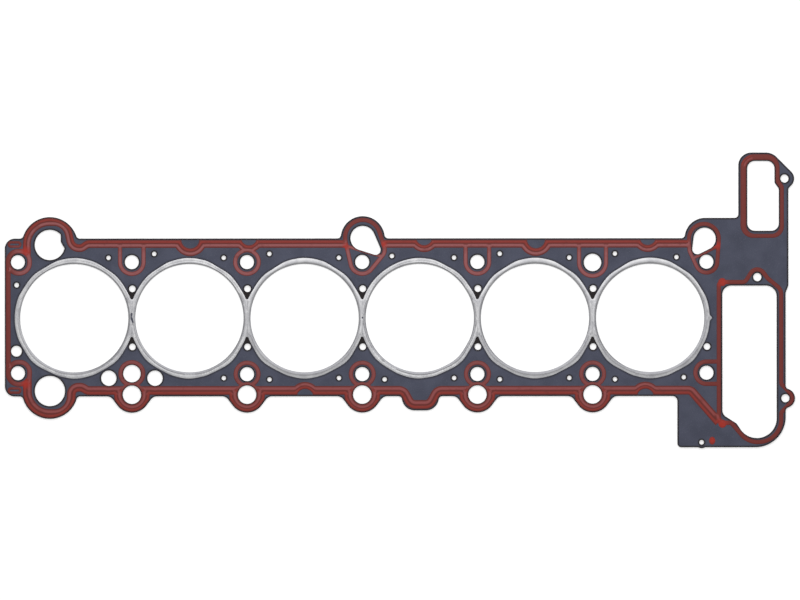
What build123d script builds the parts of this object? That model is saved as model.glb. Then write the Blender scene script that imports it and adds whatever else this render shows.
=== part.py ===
from build123d import *
import math
import os

# A cylinder head gasket for a straight-six engine, lying on the block face.
# The face is Z = 0, +X runs towards the timing chain and +Y towards the tensioner slot.
# The origin is the centre of the inner head bolts, which is the middle of the bore row.

os.makedirs("parts", exist_ok=True)

# Bores
cylinders = 6
bore_radius = 42.8
bore_web = 5.4
bore_pitch = 2 * bore_radius + bore_web
row_end = bore_pitch * cylinders / 2
bore_centres = [((index + 0.5) * bore_pitch - row_end, 0) for index in range(cylinders)]
web_columns = [index * bore_pitch - row_end for index in range(1, cylinders)]

# Layers, from the block face up
core_thickness = 0.45
facing_thickness = 0.65
bead_height = 0.125
core_base = bead_height + facing_thickness
upper_facing_base = core_base + core_thickness
upper_facing_top = upper_facing_base + facing_thickness
overall_height = upper_facing_top + bead_height

# Fire rings: a folded sheet with a rounded nose in the bore and a flange on each face
ring_sheet = 0.25
nose_width = 2.0
nose_drop = 0.55
flange_width = 4.2
web_blend = 1.25
ring_gap = 0.04
flange_clearance = 0.15
nose_clearance = 0.05
flange_radius = bore_radius + flange_width
nose_radius = bore_radius + nose_width
body_hole_radius = nose_radius + nose_clearance
tab_half_width = 5.0
tab_height = 3.8
tab_reach = 1.9
slit_width = 1.6
slit_bend_radius = 1.2
nick_radius = 0.75
nick_shift = 0.3

# Sheet edges
upper_land = 15.9
lower_land = 14.8
end_land = 9.3
deck_top = flange_radius + upper_land
deck_bottom = -flange_radius - lower_land
left_edge = -row_end - end_land
left_corner_radius = 7.8
edge_blend = 3.0

# Head bolts and the two dowels, which take the place of one bolt in each row
bolt_hole_radius = 5.55
dowel_hole_radius = 6.9
bolt_row_margin = 1.5
bolt_row = bore_radius + bolt_row_margin
end_bolt_inset = 1.0
end_bolt_x = row_end - end_bolt_inset
lower_end_bolt_shift = 0.9
lower_end_bolt_y = lower_end_bolt_shift - bolt_row
dowel_shift = 0.5
dowel_y = bolt_row - dowel_shift

# Drain holes in the ears along the lower edge
drain_hole_radius = 7.28
drain_hole_inset = 1.3
drain_y = deck_bottom + drain_hole_inset
ear_wall = 6.92
ear_radius = drain_hole_radius + ear_wall
ear_flank_angle = 53.0
ear_blend = 6.0

# Coolant holes, which are metering holes where they are small
web_hole_radius = 2.62
web_hole_shift = 0.4
upper_web_hole_y = 23.2
lower_web_hole_y = -22.7
metering_hole_radius = 1.75
metering_left = 18.4
metering_right = 17.7
transfer_hole_radius = 6.08
transfer_reach = 18.25
transfer_y = -bore_radius - 4.6
transfer_holes = [(web_columns[0] + reach, transfer_y) for reach in (-transfer_reach, transfer_reach)]
upper_metering_y = bore_radius + 4.9
metering_rise = 3.1
lower_metering_y = -bore_radius - 4.6
metering_drop = 1.1
single_metering = [
    (23.5, bore_radius + 6.2),
    (row_end - 24.7, bore_radius + 5.2),
    (row_end - 19.0, -bore_radius - 4.1),
]
rear_small_hole_radius = 1.9
rear_small_hole = (-row_end, 26.2)
rear_large_hole_radius = 4.28
rear_large_hole = (-row_end - 0.2, -26.0)

# Oil returns at the rear, each in a round arch of the sheet
arch_radius = 22.0
return_hole_radius = 11.95
return_inset = 26.2
return_x = -row_end + return_inset
upper_return_y = deck_top - 5.0
lower_return_y = deck_bottom + 4.3
return_flat_distance = 8.7
return_flat_foot = 2.3
return_step_width = 2.7
return_rounding = 3.0

# Teardrop openings beside the middle bolt and beside the front bolt, as x, y and radius
middle_tear_x = 0.45
middle_tear_y = deck_top + 0.2
middle_tear = [(middle_tear_x, middle_tear_y, 9.7), (10.6, deck_top - 9.0, 4.0)]
front_ear_x = row_end - 2.2
front_ear_y = deck_top + 0.1
front_tear = [(front_ear_x - 0.2, front_ear_y - 0.6, 8.8), (front_ear_x - 5.9, front_ear_y - 8.7, 4.1)]
middle_ear_radius = 17.35
front_ear_radius = 15.9

# Small lug on the lower edge
lug_left = 41.5
lug_right = 50.3
lug_radius = 10.2
lug_depth = 1.0

# Chain case: the opening, the sheet round it and the foot beside it
chain_left = row_end + 11.5
chain_width = 43.0
chain_right = chain_left + chain_width
chain_top = 25.4
chain_round_radius = 15.7
chain_round_x = chain_right - chain_round_radius
chain_round_y = -79.4
shoulder_width = 11.3
shoulder_height = 7.2
shoulder_y = -76.4
round_flank_angle = 57.2
case_wall = 7.0
case_right = chain_right + case_wall
case_bottom = chain_round_y - chain_round_radius - 7.2
case_corner_radius = 24.0
foot_left = row_end - 24.0
foot_corner_radius = 3.0
foot_blend = 4.0
locating_hole_radius = 1.86
locating_hole_x = row_end - 4.9
locating_hole_y = case_bottom + 3.9
locating_bump_radius = 4.7

# Tower with the tensioner slot
tower_left = row_end + 24.3
tower_top = deck_top + 67.6
tower_shoulder = front_ear_y + front_ear_radius
tower_right = case_right + 2.2
tower_corner_radius = 10.2
tower_slope_radius = 11.8
tower_step = 5.5
slot_left = tower_left + 6.95
slot_right = tower_right - 7.4
slot_neck = 3.4
slot_top = tower_top - 6.6
slot_bottom = deck_top + 5.8
slot_step_low = slot_top - 21.9
slot_step_high = slot_top - 17.3
slot_corner_radius = 6.0
slot_step_radius = 3.0
slot_corners = [
    (slot_left, slot_bottom),
    (slot_right, slot_bottom),
    (slot_right, slot_step_low),
    (slot_right - slot_neck, slot_step_high),
    (slot_right - slot_neck, slot_top),
    (slot_left, slot_top),
]
slot_radii = [
    slot_corner_radius,
    slot_corner_radius,
    slot_step_radius,
    slot_step_radius,
    slot_corner_radius,
    slot_corner_radius,
]

# Timing cover screws
cover_hole_radius = 3.25
cover_ear_radius = 7.6
upper_cover_hole = (tower_right - 3.0, tower_top - 20.55)
inner_cover_hole = (chain_right - 15.3, chain_top + 6.7)
lower_cover_hole = (case_right - 0.2, -63.6)

# Printed sealing bead: widths of its strips
print_edge_margin = 0.8
print_hole_margin = 0.5
rail_width = 3.4
end_rail_width = 3.8
chain_rail_width = 3.4
band_width = 6.2
lower_band_width = 7.0
small_dip_width = 5.6
hump_width = 5.6
front_loop_width = 3.2
cross_rail_width = 2.6
hairpin_width = 2.0

# Bead along the two long edges, with swings past the oil returns, dips, humps and the way round the lug
band_y = deck_top - 4.3
lower_band_y = deck_bottom + 4.65
band_end_gap = 11.5
upper_arch_rail = 18.1
upper_arch_right = 13.0
upper_arch_radii = [17.9, 12.3, 7.0]
lower_arch_rail = 17.8
lower_arch_right = 15.9
lower_arch_radii = [17.6, 13.4, 5.6]
swing_start = 17.4
swing_end = 25.3
swing_ramp = 4.5
upper_swing = 3.2
lower_swing = 2.6
swing_radius = 5.0
dip_radius = 10.2
dip_rise = 3.6
dip_columns = [web_columns[0] + 46.2, web_columns[3] + 46.3]
small_dip_radius = 9.0
small_dip_rise = 5.2
small_dip_columns = [web_columns[1] + 1.6, web_columns[3] - 42.0, web_columns[4] + 43.6]
hump_radius = 9.3
hump_drop = 5.4
hump_columns = [web_columns[1] + 45.8, web_columns[4] + 41.7]
detour_depth = 11.2
detour_reach = 3.0
detour_ramp = 6.0
detour_radius = 6.0
foot_turn_x = row_end - 13.5
foot_turn_radius = 5.0

# Bead loops round the bolts, dowels and drain holes
loop_margin = 3.75
eye_margin = 3.45
drain_eye_margin = 2.6
end_rail_x = left_edge + 2.7
end_loop_length = 16.8
end_loop_height = 17.5
end_loop_size = (end_loop_length, end_loop_height)
end_loop_corner = 8.0
front_rail_half = 8.8

# Bead round the teardrops, the chain opening and the slot
tear_margin = 4.2
tear_loop_rise = 0.5
tear_tail_margin = 3.2
front_tear_margin = 3.0
front_loop_shift = 0.6
front_tail_margin = 2.3
front_bolt_margin = 3.05
chain_rail_left = chain_left - 2.8
chain_rail_right = chain_right + 3.5
chain_rail_top = chain_top + 2.8
chain_rail_bottom = chain_round_y - chain_round_radius - 3.1
screw_bow_half = 11.2
screw_bow_reach = 7.8
chain_foot_reach = 7.2
chain_flank_start = 7.0
chain_flank_drop = 6.6
chain_foot_run = 7.79
inner_screw_run = 9.7
inner_screw_rise = 10.6
inner_screw_reach = 8.3
blob_radius = 3.2
slot_rail_inner = 0.8
slot_rail_foot = 2.4
slot_rail_outer = 5.35
slot_rail_right = 3.9
slot_rail_drop = 5.6
slot_step_rise = 2.0

cross_rails = [
    ((-13.0, deck_top - 5.9), (15.0, deck_top - 14.1)),
    ((front_ear_x + 10.2, deck_top - 6.3), (front_ear_x - 9.3, deck_top - 15.9)),
]

# Small separate prints
hairpin_length = 9.0
hairpin_height = 3.4
upper_hairpin = (left_edge + 7.7, deck_top - 4.6)
lower_hairpin = (left_edge + 7.6, deck_bottom + 4.7)
spot_place = (row_end + 3.4, case_bottom + 5.2)
spot_length = 4.8
spot_height = 6.2


def disc_group(places, radius, mode=Mode.ADD):
    """Add or cut one disc at each place in the sketch in hand."""
    with Locations(*places):
        Circle(radius, mode=mode)


def grown(points, radii, growth):
    """Corners and corner radii of a panel that is grown all round, or shrunk if growth is negative."""
    area = 0.0
    for (x0, y0), (x1, y1) in zip(points, points[1:] + points[:1]):
        area += x0 * y1 - x1 * y0
    turn = math.copysign(1, area)
    corners = []
    new_radii = []
    for index, (x, y) in enumerate(points):
        before = points[index - 1]
        after = points[(index + 1) % len(points)]
        ahead = Vector(x - before[0], y - before[1]).normalized()
        onward = Vector(after[0] - x, after[1] - y).normalized()
        out_in = Vector(ahead.Y, -ahead.X) * turn
        out_on = Vector(onward.Y, -onward.X) * turn
        shift = (out_in + out_on) * (growth / (1 + out_in.dot(out_on)))
        corners.append((x + shift.X, y + shift.Y))
        convex = math.copysign(1, (ahead.X * onward.Y - ahead.Y * onward.X) * turn)
        new_radii.append(radii[index] + convex * growth if radii[index] else 0)
    return corners, new_radii


def panel(points, radii, growth=0.0, mode=Mode.ADD):
    """Add or cut a flat panel whose corners each have their own radius."""
    corners, corner_radii = grown(points, radii, growth)
    with BuildLine() as border:
        FilletPolyline(*corners, radius=corner_radii, close=True)
    make_face(border.edges(), mode=mode)


def strip(points, radii, width):
    """Add a strip of even width along a route with rounded corners."""
    with BuildLine() as route:
        if radii:
            FilletPolyline(*points, radius=radii)
        else:
            Polyline(*points)
    trace(route.line, line_width=width)


def hull(circles, growth=0.0):
    """The outline drawn tight round a few circles, each given as x, y and radius."""
    with BuildSketch() as outline:
        for x, y, radius in circles:
            with Locations((x, y)):
                Circle(radius + growth)
        make_hull()
    return outline.sketch


def box_ring(x, y, length, height, corner, width):
    """A closed strip round a rectangle with rounded corners, measured on the strip's middle."""
    with BuildSketch() as ring:
        with Locations((x, y)):
            RectangleRounded(length + width, height + width, corner + width / 2)
            RectangleRounded(length - width, height - width, corner - width / 2, mode=Mode.SUBTRACT)
    return ring.sketch


def bulge(radius, edge_height, blend):
    """A disc that bulges upwards past a straight edge, blended into the edge on both sides."""
    half_length = radius + 2 * blend
    depth = 2.0
    with BuildSketch() as shape:
        with Locations((0, edge_height - depth / 2)):
            Rectangle(2 * half_length, depth)
        Circle(radius)
        on_edge = shape.vertices().filter_by_position(Axis.Y, edge_height - 1e-4, edge_height + 1e-4)
        fillet(on_edge.sort_by(Axis.X)[1:-1], blend)
    return shape.sketch


def dip(x, y, radius, width, side, edge):
    """The part of a round strip that hangs below, or stands above, a straight edge."""
    reach = radius + width
    with BuildSketch() as part:
        with Locations((x, y)):
            Circle(radius + width / 2)
            Circle(radius - width / 2, mode=Mode.SUBTRACT)
        with Locations((x, edge + side * reach)):
            Rectangle(2 * reach, 2 * reach, mode=Mode.SUBTRACT)
    return part.sketch


def round_ring(x, y, radius, width):
    """A closed round strip, measured on its middle."""
    with BuildSketch() as ring:
        with Locations((x, y)):
            Circle(radius + width / 2)
            Circle(radius - width / 2, mode=Mode.SUBTRACT)
    return ring.sketch


def drain_print(column):
    """The print round a drain hole: wide in the ear and narrower above it."""
    with BuildSketch() as patch:
        with Locations((column, drain_y)):
            Circle(ear_radius)
        with Locations((column, lower_band_y + lower_band_width / 2)):
            Rectangle(2 * ear_radius, 2 * ear_radius, align=(Align.CENTER, Align.MIN), mode=Mode.SUBTRACT)
        with Locations((column, drain_y)):
            Circle(drain_hole_radius + drain_eye_margin)
    return patch.sketch


def chain_loop():
    """The bead's loop round the chain opening and the two cover screws beside it."""
    half = chain_rail_width / 2
    foot_x = chain_round_x - chain_foot_reach
    flank_x = chain_left + chain_flank_start
    flank_y = shoulder_y - chain_flank_drop
    slope = math.atan2(flank_y - chain_rail_bottom, foot_x - flank_x)
    foot_radius = chain_foot_run / math.tan(slope / 2)
    corners = [
        (chain_rail_left, chain_rail_top),
        (inner_cover_hole[0] - inner_screw_run, chain_rail_top),
        (inner_cover_hole[0] - 0.6, inner_cover_hole[1] + inner_screw_rise),
        (inner_cover_hole[0] + inner_screw_reach, inner_cover_hole[1] - 1.1),
        (chain_rail_right, chain_top - 3.1),
        (chain_rail_right, lower_cover_hole[1] + screw_bow_half),
        (lower_cover_hole[0] + screw_bow_reach, lower_cover_hole[1]),
        (chain_rail_right, lower_cover_hole[1] - screw_bow_half),
        (chain_rail_right, chain_rail_bottom),
        (foot_x, chain_rail_bottom),
        (flank_x, flank_y),
        (chain_rail_left, flank_y),
    ]
    radii = [3.0, 4.0, 6.0, 6.0, 8.0, 3.0, 5.5, 3.0, 18.0, foot_radius, 3.0, 4.0]
    with BuildSketch() as loop:
        panel(corners, radii, half)
        panel(corners, radii, -half, mode=Mode.SUBTRACT)
    return loop.sketch


def upper_return(growth):
    """The upper oil return about its own centre: a round hole with a flat and a step on its right."""
    with BuildSketch() as hole:
        Circle(return_hole_radius + growth)
        panel(
            [
                (return_flat_distance, 2 * return_hole_radius),
                (return_flat_distance, return_flat_foot),
                (return_flat_distance + return_step_width, -return_flat_foot),
                (2 * return_hole_radius, -return_flat_foot),
                (2 * return_hole_radius, 2 * return_hole_radius),
            ],
            [0, return_rounding, 0, 0, 0],
            -growth,
            mode=Mode.SUBTRACT,
        )
    return hole.sketch


cover_ear_apex = cover_ear_radius * math.sqrt(2)
upper_ear_tip = upper_cover_hole[0] + cover_ear_apex
upper_ear_root = upper_cover_hole[1] - upper_ear_tip + tower_right
tower_slope_start = upper_ear_tip - tower_top + upper_cover_hole[1]
ear_apex_y = drain_y - ear_radius / math.cos(math.radians(ear_flank_angle))
ear_half_width = (deck_bottom - ear_apex_y) / math.tan(math.radians(ear_flank_angle))
ear_foot = ear_half_width + ear_blend


def sheet_outline(growth=0.0):
    """Outline of the sheet without its openings, grown all round by a margin."""
    blend = edge_blend - growth
    lug_centre_y = deck_bottom - lug_depth
    with BuildSketch() as outline:
        panel(
            [
                (left_edge, deck_bottom),
                (foot_left, deck_bottom),
                (foot_left, case_bottom),
                (case_right, case_bottom),
                (case_right, chain_top - tower_step),
                (tower_right, chain_top),
                (tower_right, upper_ear_root),
                (upper_ear_tip, upper_cover_hole[1]),
                (tower_slope_start, tower_top),
                (tower_left, tower_top),
                (tower_left, tower_shoulder),
                (front_ear_x, tower_shoulder),
                (front_ear_x, deck_top),
                (left_edge, deck_top),
            ],
            [
                left_corner_radius,
                foot_blend,
                foot_corner_radius,
                case_corner_radius,
                edge_blend,
                edge_blend,
                edge_blend,
                cover_ear_radius,
                tower_slope_radius,
                tower_corner_radius,
                edge_blend,
                0,
                0,
                left_corner_radius,
            ],
            growth,
        )
        upper_arch = bulge(arch_radius + growth, deck_top - upper_return_y + growth, blend)
        lower_arch = bulge(arch_radius + growth, lower_return_y - deck_bottom + growth, blend)
        middle_ear = bulge(middle_ear_radius + growth, deck_top - middle_tear_y + growth, blend)
        front_ear = bulge(front_ear_radius + growth, deck_top - front_ear_y + growth, blend)
        cover_ear = bulge(cover_ear_radius + growth, case_right - lower_cover_hole[0] + growth, blend)
        bump = bulge(locating_bump_radius + growth, locating_hole_y - case_bottom + growth, blend)
        lug_end = bulge(lug_radius + growth, growth - lug_depth, blend)
        add(Pos(return_x, upper_return_y) * upper_arch)
        add(Pos(return_x, lower_return_y) * Rot(0, 0, 180) * lower_arch)
        add(Pos(middle_tear_x, middle_tear_y) * middle_ear)
        add(Pos(front_ear_x, front_ear_y) * front_ear)
        add(Pos(*lower_cover_hole) * Rot(0, 0, -90) * cover_ear)
        add(Pos(locating_hole_x, locating_hole_y) * Rot(0, 0, 180) * bump)
        add(Pos(lug_left, lug_centre_y) * Rot(0, 0, 180) * lug_end)
        add(Pos(lug_right, lug_centre_y) * Rot(0, 0, 180) * lug_end)
        with Locations(((lug_left + lug_right) / 2, lug_centre_y)):
            Rectangle(lug_right - lug_left, lug_radius + growth, align=(Align.CENTER, Align.MAX))
        for column in web_columns:
            panel(
                [
                    (column - ear_foot, deck_bottom + edge_blend),
                    (column - ear_foot, deck_bottom),
                    (column - ear_half_width, deck_bottom),
                    (column, ear_apex_y),
                    (column + ear_half_width, deck_bottom),
                    (column + ear_foot, deck_bottom),
                    (column + ear_foot, deck_bottom + edge_blend),
                ],
                [0, 0, ear_blend, ear_radius, ear_blend, 0, 0],
                growth,
            )
    return outline.sketch


shoulder_x = chain_left + shoulder_width
flank = math.radians(round_flank_angle)
round_touch_x = chain_round_x - chain_round_radius * math.sin(flank)
round_touch_y = chain_round_y - chain_round_radius * math.cos(flank)
upper_bolts = [(x, bolt_row) for x in (-end_bolt_x, *web_columns[:-1], end_bolt_x)]
lower_bolts = [(x, -bolt_row) for x in web_columns[1:]]
end_bolts = [(-end_bolt_x, lower_end_bolt_y), (end_bolt_x, lower_end_bolt_y)]
dowels = [(web_columns[0], -dowel_y), (web_columns[-1], dowel_y)]
drains = [(column, drain_y) for column in web_columns]
upper_web_holes = [(column + web_hole_shift, upper_web_hole_y) for column in web_columns]
lower_web_holes = [(x + web_hole_shift, lower_web_hole_y) for x in (*web_columns, end_bolt_x)]
upper_left_metering = [(x - metering_left, upper_metering_y) for x in web_columns]
outer_columns = [x for x in web_columns if x != 0]
upper_right_metering = [(x + metering_right, upper_metering_y + metering_rise) for x in outer_columns]
lower_left_metering = [(x - metering_left, lower_metering_y) for x in web_columns[1:]]
lower_right_metering = [(x + metering_right, lower_metering_y - metering_drop) for x in web_columns[1:]]


def sheet_openings(growth=0.0):
    """Every opening through the sheet apart from the bores, grown all round by a margin."""
    with BuildSketch() as openings:
        disc_group(upper_bolts + lower_bolts + end_bolts, bolt_hole_radius + growth)
        disc_group(dowels, dowel_hole_radius + growth)
        disc_group(drains, drain_hole_radius + growth)
        disc_group(upper_web_holes + lower_web_holes, web_hole_radius + growth)
        disc_group(upper_left_metering + upper_right_metering, metering_hole_radius + growth)
        disc_group(lower_left_metering + lower_right_metering, metering_hole_radius + growth)
        disc_group(single_metering, metering_hole_radius + growth)
        disc_group(transfer_holes, transfer_hole_radius + growth)
        disc_group([rear_small_hole], rear_small_hole_radius + growth)
        disc_group([rear_large_hole], rear_large_hole_radius + growth)
        disc_group([(return_x, lower_return_y)], return_hole_radius + growth)
        add(Pos(return_x, upper_return_y) * upper_return(growth))
        add(hull(middle_tear, growth))
        add(hull(front_tear, growth))
        disc_group([upper_cover_hole, inner_cover_hole, lower_cover_hole], cover_hole_radius + growth)
        disc_group([(locating_hole_x, locating_hole_y)], locating_hole_radius + growth)
        disc_group([(chain_round_x, chain_round_y)], chain_round_radius + growth)
        panel(
            [
                (chain_left, chain_top),
                (chain_right, chain_top),
                (chain_right, chain_round_y),
                (chain_round_x, chain_round_y),
                (round_touch_x, round_touch_y),
                (shoulder_x, shoulder_y - shoulder_height),
                (chain_left, shoulder_y),
            ],
            [7.0, 8.5, 0, 0, 0, 3.5, 6.0],
            growth,
        )
        panel(slot_corners, slot_radii, growth)
    return openings.sketch


with BuildSketch() as sheet_plan:
    add(sheet_outline())
    add(sheet_openings(), mode=Mode.SUBTRACT)

with BuildSketch() as print_field:
    add(sheet_outline(-print_edge_margin))
    add(sheet_openings(print_hole_margin), mode=Mode.SUBTRACT)


def flange_plan(sides, growth=0.0, gap=0.0):
    """Plan of a ring's flange about its bore, blended into its neighbours on the given sides.

    A side is -1 or 1, and the flange ends there at the middle of the web, less half the gap.
    """
    radius = flange_radius + growth
    blend = web_blend - growth
    web_x = bore_pitch / 2
    blend_y = math.sqrt((radius + blend) ** 2 - web_x**2)
    touch = math.degrees(math.atan2(blend_y, web_x))
    short = math.degrees(math.asin(gap / 2 / blend))
    sweep = 90 - touch - short
    end_x = web_x - gap / 2
    end_y = blend_y - blend * math.cos(math.radians(short))
    with BuildSketch() as plan:
        with BuildLine() as border:
            if len(sides) == 2:
                CenterArc((0, 0), radius, touch, 180 - 2 * touch)
                CenterArc((0, 0), radius, 180 + touch, 180 - 2 * touch)
            elif sides[0] > 0:
                CenterArc((0, 0), radius, touch, 360 - 2 * touch)
            else:
                CenterArc((0, 0), radius, 180 + touch, 360 - 2 * touch)
            for side in sides:
                if side > 0:
                    CenterArc((web_x, blend_y), blend, 180 + touch, sweep)
                    CenterArc((web_x, -blend_y), blend, 180 - touch, -sweep)
                else:
                    CenterArc((-web_x, blend_y), blend, -touch, -sweep)
                    CenterArc((-web_x, -blend_y), blend, touch, sweep)
                Line((side * end_x, -end_y), (side * end_x, end_y))
        make_face(border.edges())
    return plan.sketch


def front_tab(growth=0.0):
    """The pointed tab on the front ring's upper flange, about that ring's bore."""
    slant = math.hypot(tab_height, tab_half_width)
    root = flange_radius + tab_reach - tab_height
    half_width = tab_half_width + growth * slant / tab_height
    tip = root + tab_height + growth * slant / tab_half_width
    with BuildSketch() as tab:
        Polygon((root, -half_width), (tip, 0), (root, half_width), align=None)
    return tab.sketch


ring_sides = [[side for side in (-1, 1) if 0 <= index + side < cylinders] for index in range(cylinders)]


def facing_recess(with_tab):
    """Plan of the recess that all the flanges of one face lie in."""
    with BuildSketch() as recess:
        for (x, y), sides in zip(bore_centres, ring_sides):
            add(Pos(x, y) * flange_plan(sides, flange_clearance))
        if with_tab:
            add(Pos(*bore_centres[-1]) * front_tab(flange_clearance))
    return recess.sketch


# Steel core between the facings
with BuildPart() as core_plate:
    with BuildSketch(Plane.XY.offset(core_base)):
        add(sheet_plan.sketch)
        disc_group(bore_centres, body_hole_radius, Mode.SUBTRACT)
    extrude(amount=core_thickness)
core_plate.part.label = "core_plate"
export_step(core_plate.part, "parts/core_plate.step")

# Soft facings, recessed round the bores for the ring flanges
recess_depth = ring_sheet - bead_height
with BuildPart() as facing_top:
    with BuildSketch(Plane.XY.offset(upper_facing_base)):
        add(sheet_plan.sketch)
        disc_group(bore_centres, body_hole_radius, Mode.SUBTRACT)
    extrude(amount=facing_thickness)
    with BuildSketch(Plane.XY.offset(upper_facing_top)):
        add(facing_recess(with_tab=True))
    extrude(amount=-recess_depth, mode=Mode.SUBTRACT)
facing_top.part.label = "facing_top"
export_step(facing_top.part, "parts/facing_top.step")

with BuildPart() as facing_bottom:
    with BuildSketch(Plane.XY.offset(bead_height)):
        add(sheet_plan.sketch)
        disc_group(bore_centres, body_hole_radius, Mode.SUBTRACT)
    extrude(amount=facing_thickness)
    with BuildSketch(Plane.XY.offset(bead_height)):
        add(facing_recess(with_tab=False))
    extrude(amount=recess_depth, mode=Mode.SUBTRACT)
facing_bottom.part.label = "facing_bottom"
export_step(facing_bottom.part, "parts/facing_bottom.step")

# Fire rings
fold_radius = (nose_width**2 + nose_drop**2) / (2 * nose_drop)
inner_fold_radius = fold_radius - ring_sheet
inner_wall = bore_radius + ring_sheet
inner_drop = fold_radius - math.sqrt(inner_fold_radius**2 - (nose_width - ring_sheet) ** 2)


def nose_half(height, sign):
    """Points of the nose on one face: outer arc's ends and middle, then the inner arc's."""
    middle = math.asin(nose_width / fold_radius) / 2
    inner_middle = math.asin((nose_width - ring_sheet) / inner_fold_radius) / 2
    centre_z = height - sign * fold_radius
    outer = [
        (bore_radius, height - sign * nose_drop),
        (nose_radius - fold_radius * math.sin(middle), centre_z + sign * fold_radius * math.cos(middle)),
        (nose_radius, height),
    ]
    inner = [
        (nose_radius, height - sign * ring_sheet),
        (
            nose_radius - inner_fold_radius * math.sin(inner_middle),
            centre_z + sign * inner_fold_radius * math.cos(inner_middle),
        ),
        (inner_wall, height - sign * inner_drop),
    ]
    return outer, inner


def web_cut(index):
    """What is cut through the upper fold of one ring at its webs: a crooked slit or a small nick."""
    with BuildSketch() as cut:
        if index in (0, 1):
            x = web_columns[0]
            strip(
                [(x - 0.1, 4.0), (x - 0.8, 1.0), (x + 0.35, -1.7), (x + 0.85, -3.5)],
                [slit_bend_radius, slit_bend_radius],
                slit_width,
            )
        if index in (2, 3):
            disc_group([(web_columns[2] + nick_shift, 0.2)], nick_radius)
    return cut.sketch


for index, (x, y) in enumerate(bore_centres):
    with BuildPart() as fire_ring:
        upper_outer, upper_inner = nose_half(overall_height, 1)
        lower_outer, lower_inner = nose_half(0, -1)
        with BuildSketch(Plane((x, y, 0), x_dir=(1, 0, 0), z_dir=(0, -1, 0))) as section:
            with BuildLine():
                ThreePointArc(*upper_outer)
                Line(upper_outer[2], upper_inner[0])
                ThreePointArc(*upper_inner)
                Line(upper_inner[2], lower_inner[2])
                ThreePointArc(*lower_inner)
                Line(lower_inner[0], lower_outer[2])
                ThreePointArc(*lower_outer)
                Line(lower_outer[0], upper_outer[0])
            make_face()
        revolve(axis=Axis((x, y, 0), (0, 0, 1)))
        for base, face_up in ((0, False), (overall_height - ring_sheet, True)):
            with BuildSketch(Plane.XY.offset(base)):
                add(Pos(x, y) * flange_plan(ring_sides[index], 0, ring_gap))
                if face_up and index == cylinders - 1:
                    add(Pos(x, y) * front_tab())
                disc_group([(x, y)], nose_radius, Mode.SUBTRACT)
            extrude(amount=ring_sheet)
        if index < 4:
            with BuildSketch(Plane.XY.offset(overall_height / 2)):
                add(web_cut(index))
            extrude(amount=overall_height, mode=Mode.SUBTRACT)
    name = f"fire_ring_{index + 1}"
    fire_ring.part.label = name
    export_step(fire_ring.part, f"parts/{name}.step")

# Sealing bead, printed alike on both faces
with BuildSketch() as upper_band:
    swing_y = band_y - upper_swing
    strip(
        [
            (return_x - upper_arch_rail, bolt_row),
            (return_x - upper_arch_rail, upper_return_y + upper_arch_rail),
            (return_x + upper_arch_right, upper_return_y + upper_arch_rail),
            (return_x + swing_start, swing_y),
            (return_x + swing_end, swing_y),
            (return_x + swing_end + swing_ramp, band_y),
            (front_ear_x - band_end_gap, band_y),
        ],
        [*upper_arch_radii, swing_radius, swing_radius],
        band_width,
    )
    band_edge = band_y + band_width / 2
    for columns, rise, radius, width in (
        (dip_columns, dip_rise, dip_radius, band_width),
        (small_dip_columns, small_dip_rise, small_dip_radius, small_dip_width),
    ):
        disc_group([(x, band_y + rise) for x in columns], radius - width / 2, Mode.SUBTRACT)
        for x in columns:
            add(dip(x, band_y + rise, radius, width, 1, band_edge))

with BuildSketch() as lower_band:
    swing_y = lower_band_y + lower_swing
    strip(
        [
            (return_x - lower_arch_rail, lower_end_bolt_y),
            (return_x - lower_arch_rail, lower_return_y - lower_arch_rail),
            (return_x + lower_arch_right, lower_return_y - lower_arch_rail),
            (return_x + swing_start, swing_y),
            (return_x + swing_end, swing_y),
            (return_x + swing_end + swing_ramp, lower_band_y),
            (lug_left - detour_reach - detour_ramp, lower_band_y),
            (lug_left - detour_reach, lower_band_y - detour_depth),
            (lug_right + detour_reach, lower_band_y - detour_depth),
            (lug_right + detour_reach + detour_ramp, lower_band_y),
            (foot_turn_x, lower_band_y),
            (chain_rail_left, shoulder_y - 6.2),
        ],
        [*lower_arch_radii, swing_radius, swing_radius, *[detour_radius] * 4, foot_turn_radius],
        lower_band_width,
    )
    band_edge = lower_band_y - lower_band_width / 2
    hump_y = lower_band_y - hump_drop
    disc_group([(x, hump_y) for x in hump_columns], hump_radius - hump_width / 2, Mode.SUBTRACT)
    for x in hump_columns:
        add(dip(x, hump_y, hump_radius, hump_width, -1, band_edge))

middle_loop = [
    (middle_tear[0][0], middle_tear[0][1] + tear_loop_rise, middle_tear[0][2] + tear_margin),
    (middle_tear[1][0], middle_tear[1][1], middle_tear[1][2] + tear_tail_margin),
    (0, bolt_row, bolt_hole_radius + loop_margin),
]
front_loop = [
    (front_tear[0][0] - front_loop_shift, front_tear[0][1], front_tear[0][2] + front_tear_margin),
    (front_tear[1][0], front_tear[1][1], front_tear[1][2] + front_tail_margin),
    (end_bolt_x, bolt_row, bolt_hole_radius + front_bolt_margin),
]

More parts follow.
